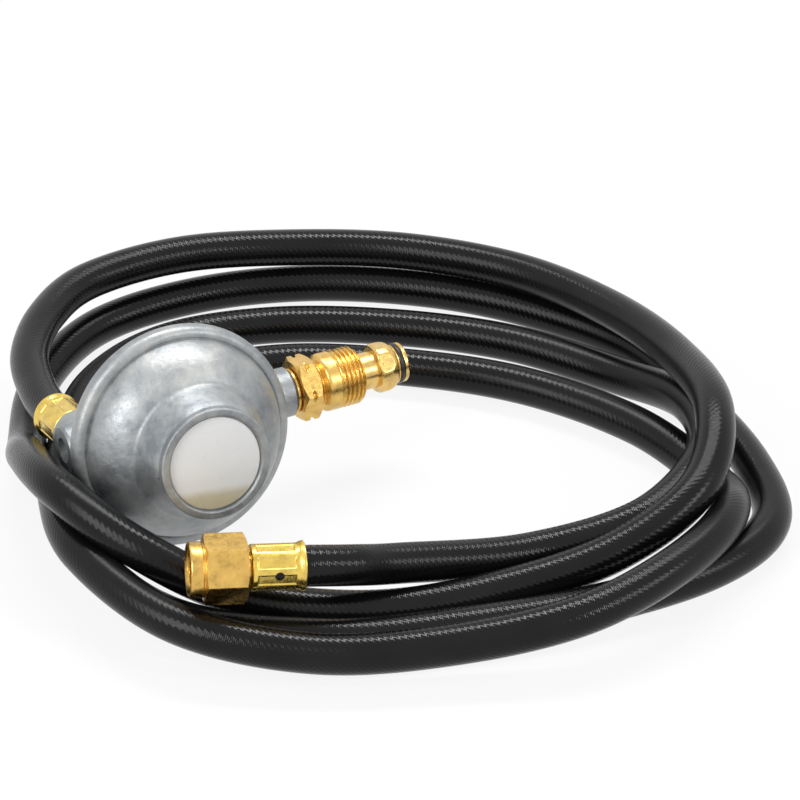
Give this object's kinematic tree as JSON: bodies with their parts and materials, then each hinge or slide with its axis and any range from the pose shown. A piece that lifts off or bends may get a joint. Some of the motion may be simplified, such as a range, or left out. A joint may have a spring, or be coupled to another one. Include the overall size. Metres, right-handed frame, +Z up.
{
  "type": "propane regulator hose",
  "caption": "Low-pressure propane regulator with a left-hand cylinder fitting and a loose coil of black gas hose that ends in a swivel flare nut.",
  "frame": {"origin": "middle of the box round the regulator and its fittings at the surface it stands on, without the hose and what is on it", "axes": "+X along the cylinder fitting, out of it; -Y towards the labelled face, which leans back 12.4 degrees; +Z up"},
  "size_m": [0.2767, 0.2946, 0.0839],
  "materials": {
    "cast_zinc": "die-cast, mottled satin",
    "label_white": "plain white label",
    "zinc_plug": "cast, dull",
    "steel": "plain",
    "brass_turned": "turned, bright",
    "brass_nut": "turned, bright",
    "brass_ferrule": "crimped, bright",
    "rubber_black": "matt",
    "hose_cover": "fine ribbed cover, slight sheen"
  },
  "bodies": {
    "regulator": {"body_casting": "cast_zinc", "bonnet": "cast_zinc", "label_disc": "label_white", "diaphragm": "rubber_black", "main_spring": "steel", "lever_pin": "steel", "pin_screws": "steel", "inlet_nozzle": "brass_turned", "inlet_screen": "brass_turned", "pol_spigot": "brass_turned", "nose_o_ring": "rubber_black", "outlet_tail": "brass_turned", "outlet_ferrule": "brass_ferrule", "hose": "hose_cover", "flare_ferrule": "brass_ferrule", "flare_tail": "brass_turned"},
    "adjuster_carriage": {"spring_button": "steel"},
    "adjuster_screw": {"adjuster_plug": "zinc_plug"},
    "diaphragm_centre": {"diaphragm_plate": "steel", "diaphragm_stem": "brass_turned"},
    "valve_lever": {"lever": "steel"},
    "valve": {"valve_plunger": "brass_turned", "valve_seat": "rubber_black"},
    "cylinder_nut": {"pol_nut": "brass_nut"},
    "hose_nut": {"flare_nut": "brass_nut"}
  },
  "joints": [
    {"name": "adjuster_travel", "type": "slide", "parent": "regulator", "child": "adjuster_carriage", "axis": [0, -0.9767, 0.2147], "range_m": [-0.0015, 0.0015], "deforming": ["main_spring"]},
    {"name": "adjuster_turn", "type": "hinge", "parent": "adjuster_carriage", "child": "adjuster_screw", "pos_m": [-0.02775, -0.03154, 0.04759], "axis": [0, -0.9767, 0.2147], "range_deg": [-360, 360]},
    {"name": "diaphragm_lift", "type": "slide", "parent": "regulator", "child": "diaphragm_centre", "axis": [0, -0.9767, 0.2147], "range_m": [0, 0.0024], "stiffness_N_per_m": 200, "deforming": ["main_spring", "diaphragm"]},
    {"name": "lever_pivot", "type": "hinge", "parent": "regulator", "child": "valve_lever", "pos_m": [-0.01225, 0.01397, 0.03758], "axis": [0, 0.2147, 0.9767], "range_deg": [0, 9]},
    {"name": "valve_travel", "type": "slide", "parent": "regulator", "child": "valve", "axis": [1, 0, 0], "range_m": [0, 0.0009]},
    {"name": "cylinder_nut_spin", "type": "hinge", "parent": "regulator", "child": "cylinder_nut", "pos_m": [0.03445, 0.00851, 0.03879], "axis": [1, 0, 0], "continuous": true},
    {"name": "hose_nut_spin", "type": "hinge", "parent": "regulator", "child": "hose_nut", "pos_m": [-0.04361, -0.07982, 0.03431], "axis": [-0.9572, 0.2781, 0.0802], "continuous": true}
  ],
  "couplings": [
    {"joint": "adjuster_travel", "follows": "adjuster_turn", "m_per_rad": 0.00023873},
    {"joint": "lever_pivot", "follows": "diaphragm_lift", "rad_per_m": 64.516},
    {"joint": "valve_travel", "follows": "diaphragm_lift", "ratio": 0.36129}
  ]
}
